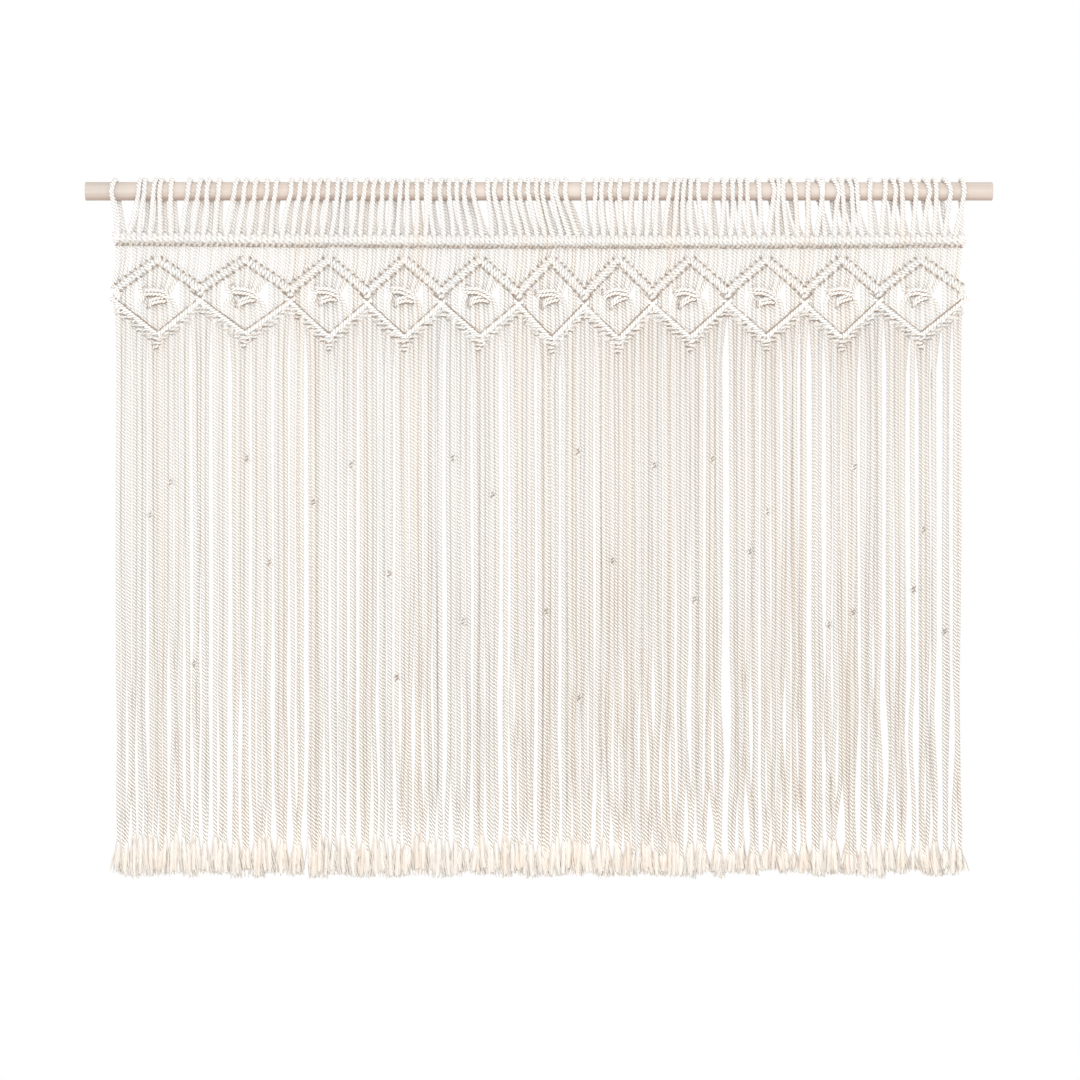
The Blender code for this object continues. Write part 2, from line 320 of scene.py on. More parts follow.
def smooth_curves(tree, given):
    """Curves through the guide's points, with rings at even steps."""
    curve = geometry(tree, "MeshToCurve", {"Mesh": given["Guides"]}, "Curve")
    curve = geometry(tree, "CurveSplineType", {"Curve": curve}, "Curve", spline_type="CATMULL_ROM")
    values = {"Curve": curve, "Length": given["Ring Step"]}
    return geometry(tree, "ResampleCurve", values, "Curve", mode="LENGTH")


def sweep(tree, given, curve, section):
    """Sweep a section along curves, smooth its faces, make them real and give their finish."""
    values = {"Curve": curve, "Profile Curve": section, "Fill Caps": True}
    values["Scale"] = carried(tree, "thickness")
    mesh = geometry(tree, "CurveToMesh", values, "Mesh")
    for kind in ("SetShadeSmooth", "RealizeInstances"):
        mesh = geometry(tree, kind, {"Geometry": mesh}, "Geometry")
    values = {"Geometry": mesh, "Material": given["Finish"]}
    mesh = geometry(tree, "SetMaterial", values, "Geometry")
    tree.links.new(mesh, tree.nodes.new("NodeGroupOutput").inputs["Cords"])
    return tree


def twisted_rope_tree():
    """Plies that turn round a centre line: a star with a point for each, twisted as it goes."""
    inputs = (("Plies", "Int"), ("Rope Radius", "Float"), ("Groove Radius", "Float"))
    tree, given = new_geometry_tree("twisted_rope", inputs)
    values = {"Curve": smooth_curves(tree, given)}
    values["Tilt"] = maths(tree, "MULTIPLY", carried(tree, "turns"), -2 * math.pi)
    curve = geometry(tree, "SetCurveTilt", values, "Curve")
    values = {
        "Points": given["Plies"],
        "Inner Radius": given["Groove Radius"],
        "Outer Radius": given["Rope Radius"],
    }
    star = add_node(tree, "GeometryNodeCurveStar", values).outputs
    depth = maths(tree, "SUBTRACT", 1.0, star["Outer Points"])
    values = {"Geometry": star["Curve"], "Name": "groove", "Value": depth}
    section = geometry(
        tree, "StoreNamedAttribute", values, "Geometry", data_type="FLOAT", domain="POINT"
    )
    return sweep(tree, given, curve, section)


def loose_yarn_tree():
    """Thin yarns along their centre lines."""
    tree, given = new_geometry_tree("loose_yarn", (("Yarn Radius", "Float"),))
    values = {"Resolution": YARN_SIDES, "Radius": given["Yarn Radius"]}
    section = geometry(tree, "CurvePrimitiveCircle", values, "Curve")
    return sweep(tree, given, smooth_curves(tree, given), section)


def new_object(name, data):
    """Put a new object with its data into the scene."""
    thing = bpy.data.objects.new(name, data)
    bpy.context.scene.collection.objects.link(thing)
    return thing


def guide_object(strands):
    """A mesh of loose edges that carries the centre lines and their numbers."""
    mesh = bpy.data.meshes.new("centre_lines")
    mesh.from_pydata(strands.points, strands.links, [])
    for name, values in strands.carried.items():
        mesh.attributes.new(name, "FLOAT", "POINT").data.foreach_set("value", values)
    return new_object("centre_lines", mesh)


def make_piece(name, node, strands, tree, values):
    """Run a tree over centre lines and keep its result as a plain mesh.

    Attach the piece to the root body and hide the plain solid that it stands for; its finish comes
    with the values.
    """
    guide = guide_object(strands)
    modifier = guide.modifiers.new("cords", "NODES")
    modifier.node_group = tree
    for item in tree.interface.items_tree:
        if item.item_type == "SOCKET" and item.in_out == "INPUT" and item.name in values:
            modifier[item.identifier] = values[item.name]
    graph = bpy.context.evaluated_depsgraph_get()
    mesh = bpy.data.meshes.new_from_object(guide.evaluated_get(graph))
    mesh.name = name
    piece = new_object(name, mesh)
    bpy.data.objects.remove(guide, do_unlink=True)
    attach(piece, "root")
    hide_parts(node)


def rope_piece(
    name, node, strands, radius=ROPE_RADIUS, step=RING_STEP, plies=3, groove=GROOVE_SHARE,
    finish=None,
):
    """Twisted ropes along centre lines, as one piece for a plain solid's node."""
    values = {"Plies": plies, "Rope Radius": radius, "Groove Radius": radius * groove}
    values.update({"Ring Step": step, "Finish": finish or ROPE_FINISH})
    make_piece(name, node, strands, ROPE_TREE, values)


def yarn_piece(name, node, strands, finish, radius, step):
    """Thin yarns along centre lines, as one piece for a plain solid's node."""
    values = {"Yarn Radius": radius, "Ring Step": step, "Finish": finish}
    make_piece(name, node, strands, YARN_TREE, values)


# Finishes

def new_finish(name):
    """An empty material with its shader."""
    finish = bpy.data.materials.new(name)
    finish.use_nodes = True
    return finish, finish.node_tree, finish.node_tree.nodes["Principled BSDF"]


def spread(tree, value, low, high, out_low=0.0, out_high=1.0):
    """Take a value from one range smoothly into another."""
    node = add_node(
        tree,
        "ShaderNodeMapRange",
        {"Value": value, "From Min": low, "From Max": high, "To Min": out_low, "To Max": out_high},
        interpolation_type="SMOOTHSTEP",
    )
    return node.outputs["Result"]


def mixed(tree, share, first, second, blend="MIX"):
    """Two colours mixed. Each is a link or three linear numbers."""
    node = add_node(tree, "ShaderNodeMix", data_type="RGBA", blend_type=blend)
    for label, value in (("Factor", share), ("A", first), ("B", second)):
        place = [s for s in node.inputs if s.name == label and s.enabled][0]
        if isinstance(value, bpy.types.NodeSocket):
            tree.links.new(value, place)
        elif label == "Factor":
            place.default_value = value
        else:
            place.default_value = (*value, 1.0)
    return [s for s in node.outputs if s.enabled][0]


def times(tree, colour, factor):
    """A colour made lighter or darker by a factor."""
    return mixed(tree, 1.0, colour, factor, "MULTIPLY")


def ramp(tree, value, stops):
    """A colour ramp through (place, colour) stops."""
    node = add_node(tree, "ShaderNodeValToRGB", {"Fac": value})
    elements = node.color_ramp.elements
    while len(elements) < len(stops):
        elements.new(0.5)
    for element, (place, colour) in zip(elements, stops):
        element.position = place
        element.color = (*colour, 1.0)
    return node.outputs["Color"]


def read(tree, name):
    """A number that the piece's points carry."""
    return add_node(tree, "ShaderNodeAttribute", attribute_name=name).outputs["Fac"]


def object_place(tree, axis):
    """Where a point lies along one axis of the object, in metres."""
    place = add_node(tree, "ShaderNodeTexCoord").outputs["Object"]
    return add_node(tree, "ShaderNodeSeparateXYZ", {"Vector": place}).outputs[axis]


def object_noise(tree, scale, detail=2.0):
    """Noise in the object's own coordinates. The scale has one number along each axis."""
    place = add_node(tree, "ShaderNodeTexCoord").outputs["Object"]
    mapping = add_node(tree, "ShaderNodeMapping", {"Vector": place, "Scale": scale})
    noise = add_node(
        tree,
        "ShaderNodeTexNoise",
        {"Vector": mapping.outputs["Vector"], "Scale": 1.0, "Detail": detail},
    )
    return noise.outputs["Fac"]


COTTON_TINTS = (
    (0.00, (0.865, 0.862, 0.855)),
    (0.30, (0.912, 0.896, 0.873)),
    (0.65, (0.922, 0.888, 0.848)),
    (1.00, (0.898, 0.824, 0.752)),
)
BIRCH_TINTS = (
    (0.30, (0.485, 0.412, 0.355)),
    (0.50, (0.545, 0.472, 0.417)),
    (0.72, (0.580, 0.520, 0.475)),
)
# Painted shade along the rod's underside
BIRCH_UNDERSIDE_SHADE = (0.27, 0.135, 0.09)
YARN_SHADE = (0.792, 0.748, 0.700)
# Painted grey shade at the yarns' tips
YARN_TIP_SHADE = (0.66, 0.65, 0.63)
# Painted shade in the grooves between plies and between yarns
GROOVE_PAINTED_SHADE = (0.33, 0.277, 0.228)
# Painted shade where cords press together or turn under
CREASE_PAINTED_SHADE = (0.26, 0.18, 0.115)


def cotton_colour(tree):
    """Natural cotton: a shade for each cord, clouded along it and a little warmer lower down."""
    clouds = object_noise(tree, (40.0, 40.0, 9.0))
    shade = maths(tree, "ADD", read(tree, "tint"), spread(tree, clouds, 0.3, 0.7, -0.12, 0.12))
    warmth = spread(tree, object_place(tree, "Z"), -0.15, -0.68, 0.0, 0.16)
    return ramp(tree, maths(tree, "ADD", shade, warmth), COTTON_TINTS)


def complete(tree, shader, colour, bump, roughness, plain):
    """Link a finish's colour, bump and roughness to its shader, and set its plain inputs."""
    normal = add_node(tree, "ShaderNodeBump", bump).outputs["Normal"]
    links = {"Base Color": colour, "Normal": normal, "Roughness": roughness}
    for name, value in links.items():
        tree.links.new(value, shader.inputs[name])
    for name, value in plain.items():
        shader.inputs[name].default_value = value


def cotton_rope():
    """Twisted natural cotton rope: soft plies and fine fibres, with painted shade in grooves that
    open lower down and where cords press together.
    """
    finish, tree, shader = new_finish("natural_cotton_rope")
    groove, crease = read(tree, "groove"), read(tree, "crease")
    # Painted shade in the grooves between plies, stronger lower down
    opened = spread(tree, object_place(tree, "Z"), -0.08, -0.60, 0.50, 0.93)
    depth = maths(tree, "MULTIPLY", spread(tree, groove, 0.27, 0.95), opened)
    tight = spread(tree, crease, -1.0, 0.0, 0.35, 1.0)
    depth = maths(tree, "MULTIPLY", depth, tight)
    colour = mixed(tree, depth, cotton_colour(tree), GROOVE_PAINTED_SHADE)
    # Painted shade where the points carry a crease above nought
    pressed = spread(tree, crease, 0.0, 1.0, 0.0, 0.90)
    colour = mixed(tree, pressed, colour, CREASE_PAINTED_SHADE)
    # Tight places are made a little darker
    tight_darkening = spread(tree, crease, -1.0, 0.0, 0.82, 1.0)
    colour = times(tree, colour, tight_darkening)
    fibres = object_noise(tree, (2600.0, 2600.0, 700.0), 3.0)
    fleck = spread(tree, fibres, 0.25, 0.75, 0.90, 1.04)
    colour = times(tree, colour, fleck)
    round_ply = maths(
        tree, "SQRT", maths(tree, "SUBTRACT", 1.0, maths(tree, "MULTIPLY", groove, groove))
    )
    lift = maths(tree, "ADD", round_ply, maths(tree, "MULTIPLY", fibres, 0.22))
    bump = {"Height": lift, "Distance": 0.8 * MM}
    roughness = spread(tree, fibres, 0.2, 0.8, 0.82, 0.98)
    plain = {"Sheen Weight": 0.12, "Sheen Roughness": 0.5, "Specular IOR Level": 0.2}
    complete(tree, shader, colour, bump, roughness, plain)
    return finish


def cotton_yarn():
    """The unravelled ends: soft loose yarns, creamier than the rope, with painted grey shade at
    their tips.
    """
    finish, tree, shader = new_finish("unravelled_cotton_yarn")
    twisted = read(tree, "crease")
    shade = mixed(tree, spread(tree, twisted, 0.0, 1.0), YARN_SHADE, (1.0, 1.0, 1.0))
    colour = times(tree, cotton_colour(tree), shade)
    depth = spread(tree, twisted, 0.0, 1.0, 0.08, 0.80)
    # Painted shade in the grooves of the ends' cores, deeper where they are still twisted
    between = maths(tree, "MULTIPLY", spread(tree, read(tree, "groove"), 0.3, 1.0), depth)
    colour = mixed(tree, between, colour, GROOVE_PAINTED_SHADE)
    streaks = object_noise(tree, (650.0, 650.0, 42.0), 1.0)
    colour = times(tree, colour, spread(tree, streaks, 0.3, 0.7, 0.94, 1.04))
    # Painted grey shade towards the bottom of the ends
    painted_tip_shade = spread(tree, object_place(tree, "Z"), -0.672, -0.686, 0.0, 0.45)
    colour = mixed(tree, painted_tip_shade, colour, YARN_TIP_SHADE)
    fibres = object_noise(tree, (2400.0, 2400.0, 260.0), 3.0)
    fleck = spread(tree, fibres, 0.25, 0.75, 0.89, 1.03)
    colour = times(tree, colour, fleck)
    bump = {"Height": fibres, "Distance": 0.4 * MM}
    roughness = spread(tree, fibres, 0.2, 0.8, 0.85, 1.0)
    plain = {"Sheen Weight": 0.25, "Sheen Roughness": 0.6, "Specular IOR Level": 0.15}
    complete(tree, shader, colour, bump, roughness, plain)
    return finish


def birch():
    """Bare sanded birch: pale pinkish, faint grain, with painted shade along its underside, and
    darker at its ends.
    """
    finish, tree, shader = new_finish("bare_birch")
    streaks = object_noise(tree, (7.0, 420.0, 420.0), 4.0)
    clouds = object_noise(tree, (5.0, 30.0, 30.0), 2.0)
    grain = maths(
        tree, "ADD", maths(tree, "MULTIPLY", streaks, 0.65), maths(tree, "MULTIPLY", clouds, 0.35)
    )
    colour = ramp(tree, grain, BIRCH_TINTS)
    pores = object_noise(tree, (160.0, 1500.0, 1500.0), 2.0)
    colour = mixed(tree, spread(tree, pores, 0.60, 0.78, 0.0, 0.30), colour, (0.40, 0.30, 0.24))
    # Painted shade along the rod's underside
    below = spread(tree, object_place(tree, "Z"), -3.6 * MM, -9.2 * MM, 0.0, 0.40)
    colour = mixed(tree, below, colour, BIRCH_UNDERSIDE_SHADE)
    across = object_place(tree, "X")
    colour = times(tree, colour, spread(tree, across, -0.43, -0.39, 0.88, 1.0))
    colour = times(tree, colour, spread(tree, across, 0.39, 0.43, 1.0, 0.96))
    bump = {"Height": streaks, "Distance": 0.12 * MM, "Strength": 0.5}
    roughness = spread(tree, streaks, 0.3, 0.7, 0.48, 0.62)
    complete(tree, shader, colour, bump, roughness, {"Specular IOR Level": 0.3})
    return finish


# Loops over the rod, and the straight bar that they are hitched to

HEADER_HALF = 6.6 * MM
HEADER_PULL = -0.85
# Thickness of the cord's turns round the bar for each millimetre that a cord has to fill
HEADER_FULL = 0.255 / MM
# How far the small dark notches of painted shade under the straight bar lie below its middle
FOOT_DROP = 7.9 * MM
SHADE_LINE_DROP = 0.6 * MM
# The steps of a turn round the straight bar, and where it ends behind the bar in degrees
WRAP_STEPS, WRAP_END = 15, 235
# Degrees down from the bar's front: where the pull lets go, and where the turn's painted shade is
# darkest, each with the degrees that it takes
PULL_FROM, PULL_OVER = 66, 36
DARK_AT, DARK_OVER = 84, 34
# Angles up from the bar's front where a loop's front and back legs reach it
FRONT_ENTRY = 48
BACK_ENTRY = 132
# A loop's way over the rod in degrees, from its front to its back
OVER_START, OVER_SWEEP, OVER_STEPS = 192, 204, 12
# A little painted shade along the front legs, in the crease colour
FRONT_LEG_PAINTED_SHADE = 0.09


def loop_tops():
    """Where each loop crosses the rod."""
    tops = []
    for count, left, right in LOOP_CLUMPS:
        for place in range(count):
            share = place / (count - 1) if count > 1 else 0.5
            tops.append(left + (right - left) * share + around(1) * LOOP_JITTER)
    crossed = slice(CROSSED_LOOP, CROSSED_LOOP + 2)
    tops[crossed] = tops[crossed][::-1]
    return tops


def header_wrap(x, first, full):
    """A cord's way round the straight bar from an angle up from its front, and its creases.

    full is how thick it is there. It gets painted shade where it turns under the bar.
    """
    middle = Vector((x, 0.0, header_height(x)))
    size = (HEADER_HALF - full * ROPE_RADIUS * SHOWN_SHARE) * varied(0.96, 1.06)
    sweep = -(first + WRAP_END)
    turn = arc(middle, Vector((0, -size, 0)), Vector((0, 0, size)), first, sweep, WRAP_STEPS)
    dark = varied(0.2, 0.5)
    creases = []
    for step in range(WRAP_STEPS + 1):
        angle = first + sweep * step / WRAP_STEPS
        pull = HEADER_PULL * smooth((angle + PULL_FROM) / PULL_OVER)
        creases.append(pull + (dark - pull) * smooth(1 - abs(angle + DARK_AT) / DARK_OVER))
    return turn, creases


def over_the_rod(front_x, top_x, back_x, skew):
    """The part of a loop that lies on the rod, from its front to its back.

    skew is how far it slants to the right on its way up the rod's front.
    """
    reach = ROD_RADIUS + LOOP_CLEARANCE + ROPE_RADIUS * SHOWN_SHARE
    over = []
    for step in range(OVER_STEPS + 1):
        share = step / OVER_STEPS
        angle = math.radians(OVER_START - OVER_SWEEP * share)
        lean = (front_x - top_x) * 0.10 * (1 - share) + (back_x - top_x) * 0.10 * share
        lean -= skew * smooth(1 - 2 * share)
        over.append(Vector((top_x + lean, reach * math.cos(angle), reach * math.sin(angle))))
    return over


def bow_leg(leg, aside, forward):
    """Bend a loop's leg sideways and forward, most in its middle."""
    for step, point in enumerate(leg):
        bent = math.sin(math.pi * step / (len(leg) - 1))
        point += Vector((aside, -forward, 0.0)) * bent


def build_loops():
    """The cords folded over the rod, each hitched twice onto the straight bar."""
    strands = Strands()
    for loop, top_x in enumerate(loop_tops()):
        front_x, back_x = place_x(2 * loop + 0.5), place_x(2 * loop + 1.5)
        full = HEADER_FULL * (back_x - front_x)
        front_wrap, front_creases = header_wrap(front_x, FRONT_ENTRY, full)
        back_wrap, back_creases = header_wrap(back_x, BACK_ENTRY, full)
        skew = varied(-0.8, 2.6) - varied(0.6, 6.0) * smooth((top_x - 0.15) / 0.12)
        over = over_the_rod(front_x, top_x, back_x, skew * MM)
        ends = (front_wrap[0], over[0]), (over[-1], back_wrap[0])
        legs = [along(pair, POINT_SPACING) for pair in ends]
        bow_leg(legs[0], around(1.3) * MM, 4 * MM if loop == CROSSED_LOOP else 0.0)
        bow_leg(legs[1], around(1.8) * MM, 0.0)
        path = front_wrap[::-1] + legs[0][1:-1] + over + legs[1][1:-1] + back_wrap
        bare = len(path) - len(front_creases) - len(back_creases)
        in_front = len(legs[0]) - 2 + len(over) // 2
        creases = front_creases[::-1] + [FRONT_LEG_PAINTED_SHADE] * in_front
        creases += [0.0] * (bare - in_front) + back_creases
        under_rod = len(front_wrap) + len(legs[0]) - 3
        behind_rod = len(path) - len(back_wrap) - len(legs[1]) + 2
        # Painted shadow of the rod on the legs just under it, fainter on the front leg than on the
        # back
        creases[under_rod] = varied(0.0, 0.3)
        creases[behind_rod] = varied(0.05, 0.55)
        swell = [1.18, 1.10]
        middle = [1.02] * (bare - 2 * len(swell))
        thickness = [full] * len(front_wrap) + swell + middle + swell[::-1]
        thickness += [full] * len(back_wrap)
        strands.add(path, TINTS[2 * loop], CHANCE.random(), crease=creases, thickness=thickness)
    rope_piece("loops_over_rod", "knotted_band", strands)


def build_header(notches):
    """The carrier inside the straight bar, a knot at both its ends, and dark notches of painted
    shade under it.
    """
    strands = Strands()
    half = HANGING_WIDTH / 2
    for place in range(CORD_COUNT):
        x = place_x(place + 0.5)
        wide = (PLACES[place + 1] - PLACES[place]) / CORD_PITCH
        # A short dark cord of painted shade under each cord's turns
        low_z = header_height(x) - FOOT_DROP
        low = Vector((x + varied(0.2, 0.9) * MM, -5.3 * MM, low_z))
        reach = Vector((-varied(0.9, 1.7) * wide, 0, varied(0.8, 1.9))) * MM
        dark = varied(0.85, 1.0)
        thick = varied(1.35, 1.85) * wide
        notches.add([low, low + reach], crease=dark, thickness=thick)
        notches.add([low + reach, low + reach * 2.2], crease=0.40, thickness=0.8)
    # A dark line of painted shade along the bar's foot, under the notches
    shade_line = along([(-half, -5.0 * MM, 0), (half, -5.0 * MM, 0)], 3.7 * MM)
    for point in shade_line:
        point.z = header_height(point.x) - FOOT_DROP - SHADE_LINE_DROP
    darkness = [varied(0.3, 0.95) for _ in shade_line]
    notches.add(shade_line, crease=darkness, thickness=0.65)
    line = along([(-half - 1 * MM, 0, HEADER_Z), (half + 1 * MM, 0, HEADER_Z)], 20 * MM)
    for point in line:
        point.z = header_height(point.x)
    strands.add(line, crease=-1.0, thickness=1.5)
    for side in (-1, 1):
        for lean, shift in ((28, 1.6), (-22, 3.4)):
            across = Vector((math.sin(math.radians(lean)) * 4 * MM, 0, 4.2 * MM))
            x = side * (half + (shift - 3.0) * MM)
            centre = (x, 0, header_height(x) + around(1) * MM)
            ring = arc(centre, Vector((0, -4.3 * MM, 0)), across, -60, 400, 18)
            strands.add(ring, 0.5, CHANCE.random(), thickness=0.85)
    rope_piece("straight_bar_carrier", "knotted_band", strands)


# The zigzag bars

UPPER_WRAP = 3.3 * MM
HITCHES_PER_ARM = 13
HITCH_ROPE = 2.15 * MM
HITCH_PULL = -0.5
BAR_DEPTH = 3.7 * MM
# How far the dark lines and dots of painted shade lie from the upper bar's middle
NOTCH_LIFT = 4.7 * MM
# A hitch's turn round its bar in degrees, from behind over the top to behind again
HITCH_START, HITCH_SWEEP, HITCH_STEPS = -165, 335, 11
CROSSING_SHARES = (0.16, 0.38, 0.60, 0.82)


def bar_normal(height, station):
    """Across a zigzag bar, in its own plane."""
    low, high = max(station - 0.4, 0), min(station + 0.4, CORD_COUNT)
    run = Vector((place_x(high) - place_x(low), 0.0, height(high) - height(low))).normalized()
    return Vector((-run.z, 0.0, run.x))


def add_hitch(strands, centre, across, depth, tint, darkness=1.0, full=1.0):
    """One turn of cord round a bar. across is its half width, and its outer ends get painted shade.
    """
    size = varied(0.95, 1.06)
    dark = varied(0.5, 0.9) * darkness
    out = Vector((0, -depth * size, 0))
    ring = arc(centre, out, across * size, HITCH_START, HITCH_SWEEP, HITCH_STEPS)
    creases = []
    for step in range(HITCH_STEPS + 1):
        rise = math.sin(math.radians(HITCH_START + HITCH_SWEEP * step / HITCH_STEPS))
        creases.append(HITCH_PULL + (dark - HITCH_PULL) * smooth((abs(rise) - 0.72) / 0.28))
    strands.add(ring, tint, CHANCE.random(), crease=creases, thickness=full)


def slanted(lean):
    """A direction in the hanging's own plane, so many degrees up from level."""
    lean = math.radians(lean)
    return Vector((math.cos(lean), 0, math.sin(lean)))


def add_notch(notches, middle, half, dark, thickness=1.0):
    """A short dark cord of painted shade in a notch, reaching half its length to each side of its
    middle.
    """
    notches.add([middle - half, middle, middle + half], crease=dark, thickness=thickness)


def arms(diamond):
    """The two arms of a diamond's bars, each from a corner to the middle."""
    left = diamond * CORDS_PER_DIAMOND
    return (left, left + HALF_DIAMOND), (left + CORDS_PER_DIAMOND, left + HALF_DIAMOND)


def arm_line(height, arm, lift, depth, count=8):
    """A line along one arm of a bar, lifted across it by so much, at a depth behind y = 0."""
    start, end = arm
    inward = 0.001 if end > start else -0.001
    line = []
    for step in range(count + 1):
        station = start + (end - start) * step / count
        z = height(station + inward if step == 0 else station)
        line.append(Vector((place_x(station), depth, z)) + lift)
    return line


def build_upper_zigzag(notches):
    """Hitches side by side round the carriers over the diamonds."""
    strands = Strands()
    for diamond in DIAMONDS:
        left = diamond * CORDS_PER_DIAMOND
        for rank in range(2 * HITCHES_PER_ARM):
            station = left + (rank + 0.5) * HALF_DIAMOND / HITCHES_PER_ARM
            centre = Vector((place_x(station), 0, upper_height(station)))
            across = bar_normal(upper_height, station) * UPPER_WRAP
            add_hitch(strands, centre, across, BAR_DEPTH, TINTS[int(station)], 0.7, 1.12)
        for arm in arms(diamond):
            line = arm_line(upper_height, arm, Vector((0, 0, 0)), 0.0)
            strands.add(line, thickness=1.2)
            across = bar_normal(upper_height, (arm[0] + arm[1]) / 2)
            # Dark lines of painted shade along both edges of each arm, with a dot at each cord
            for side, share in ((-1, 0.55), (1, 0.40)):
                lift = across * side * NOTCH_LIFT
                notches.add(arm_line(upper_height, arm, lift, -3.4 * MM), crease=share)
                add_dots(notches, arm, lift)
    for corner in range(0, CORD_COUNT + 1, CORDS_PER_DIAMOND):
        add_crossing(strands, corner)
    rope_piece("upper_zigzag_bar", "knotted_band", strands, HITCH_ROPE)


def add_dots(notches, arm, lift):
    """A short dark notch of painted shade beside each cord's hitches along one edge of an arm of the
    upper bar.
    """
    inward = 1 if arm[1] > arm[0] else -1
    for rank in range(HALF_DIAMOND):
        station = arm[0] + inward * (rank + 0.5 + around(0.12))
        middle = Vector((place_x(station), -4.6 * MM, upper_height(station))) + lift
        half = Vector((varied(0.7, 1.4), 0, -varied(0.5, 1.1))) * MM
        notches.add([middle - half, middle + half], crease=varied(0.8, 1.0))


def add_crossing(strands, corner):
    """Hitches where the bars of two neighbouring diamonds cross, one bar over the other."""
    for lean, depth in ((1, 0.94), (-1, 0.78)):
        for share in CROSSING_SHARES:
            station = min(max(corner + lean * (share - 0.5) * 2.4, 0.3), CORD_COUNT - 0.3)
            top = upper_height(max(corner - 0.7, 0))
            foot = lower_height(min(corner + 0.7, CORD_COUNT - 0.01))
            centre = Vector((place_x(station), 0, top + (foot - top) * share))
            across = Vector((lean * 0.80, 0, 0.60)) * UPPER_WRAP * 0.9
            tint = TINTS[min(int(station), CORD_COUNT - 1)]
            add_hitch(strands, centre, across, BAR_DEPTH * depth, tint, 0.8)


# Each row of level hitches: its drop below the bar's middle, its depth and its thickness
LOWER_ROWS = ((-1.6 * MM, 3.1 * MM, 0.95), (-5.4 * MM, 2.5 * MM, 0.85))
LEVEL_HITCH = 2.5 * MM
EDGE_LIFT = 3.4 * MM
EDGE_ROPE = 2.9 * MM


def build_lower_zigzag(notches):
    """A cord along the upper edge, and two rows of level hitches stepped under it."""
    strands = Strands()
    add_edge_cords(strands, notches)
    for place in range(CORD_COUNT):
        station = place + 0.5
        for drop, depth, full in LOWER_ROWS:
            centre = Vector((place_x(station), 0, lower_height(station) + drop))
            centre += Vector((around(0.6), 0, around(0.5))) * MM
            level = slanted(around(9))
            across = level * LEVEL_HITCH * varied(0.9, 1.15)
            add_hitch(strands, centre, across, depth, TINTS[place], 0.1, full)
            # A dark notch of painted shade under each hitch
            under = centre + Vector((0, -depth - 1.6 * MM, -1.8 * MM))
            half = level * varied(1.2, 3.0) * MM
            add_notch(notches, under, half, varied(0.1, 1.0), 0.85)
    add_tip_knots(strands, notches)
    rope_piece("lower_zigzag_bar", "knotted_band", strands, HITCH_ROPE)


def add_edge_cords(strands, notches):
    """The smooth cord along the bar's upper edge, which runs on past each corner, a cord behind it,
    and a dashed dark line of painted shade along its top.
    """
    lift = Vector((0, 0, EDGE_LIFT))
    for diamond in DIAMONDS:
        for arm in arms(diamond):
            line = arm_line(lower_height, arm, lift, -3.2 * MM)
            line.insert(0, line[0] + (line[0] - line[1]) * 0.9 + Vector((0, 1.2 * MM, 0)))
            strands.add(line, 0.35, CHANCE.random(), thickness=EDGE_ROPE / HITCH_ROPE)
            behind = arm_line(lower_height, arm, lift * 0.7, 2.6 * MM)
            strands.add(behind, 0.35, CHANCE.random(), thickness=1.1)
            above = Vector((0, 0, EDGE_LIFT + 3.3 * MM))
            upper_line = arm_line(lower_height, arm, above, -4.2 * MM)
            if 0 < arm[0] < CORD_COUNT:
                run_on = (upper_line[0] - upper_line[1]) * 1.6 + Vector((0, -1.4 * MM, 0))
                upper_line.insert(0, upper_line[0] + run_on)
            crisp = (arm[1] > arm[0]) == (upper_line[0].x < 0.02)
            upper_line = along(upper_line, 2.4 * MM)
            for point in upper_line[1:-1]:
                point.z += around(0.45) * MM
            pale = (0.75, 1.0) if crisp else (0.30, 0.65)
            shades = ((0.85, 1.0), pale)
            creases = [varied(*shades[step % 2]) for step in range(len(upper_line))]
            notches.add(upper_line, crease=creases, thickness=varied(0.9, 1.1))


def add_tip_knots(strands, notches):
    """Three wider hitches one under the other where the two arms of the lower bar meet, each with a
    dark notch of painted shade under it.
    """
    for diamond in DIAMONDS:
        station = diamond * CORDS_PER_DIAMOND + HALF_DIAMOND
        for row in range(3):
            width = (4.4 - 0.6 * row) * MM
            level = slanted(around(16))
            low = lower_height(station) - (1.0 + 3.6 * row) * MM
            centre = Vector((place_x(station) + around(1.2) * MM, 0, low))
            add_hitch(strands, centre, level * width, BAR_DEPTH, 0.45, 0.4)
            under = centre + Vector((0, -BAR_DEPTH - 0.9 * MM, -1.8 * MM))
            add_notch(notches, under, level * width * 0.8, 0.8)


# Cords between the bars, and the knot inside each diamond

GATHERED = range(4, 12)
KNOT_SHIFT = -2.5 * MM
KNOT_PITCH = 3.1 * MM
KNOT_HALF = 5.0 * MM


def layer(place):
    """Depth of a cord's own layer: even ones hang in front, odd ones behind."""
    return LAYER_DEPTH if place % 2 else -LAYER_DEPTH


SHORT_CORD_LEAN = 0.10


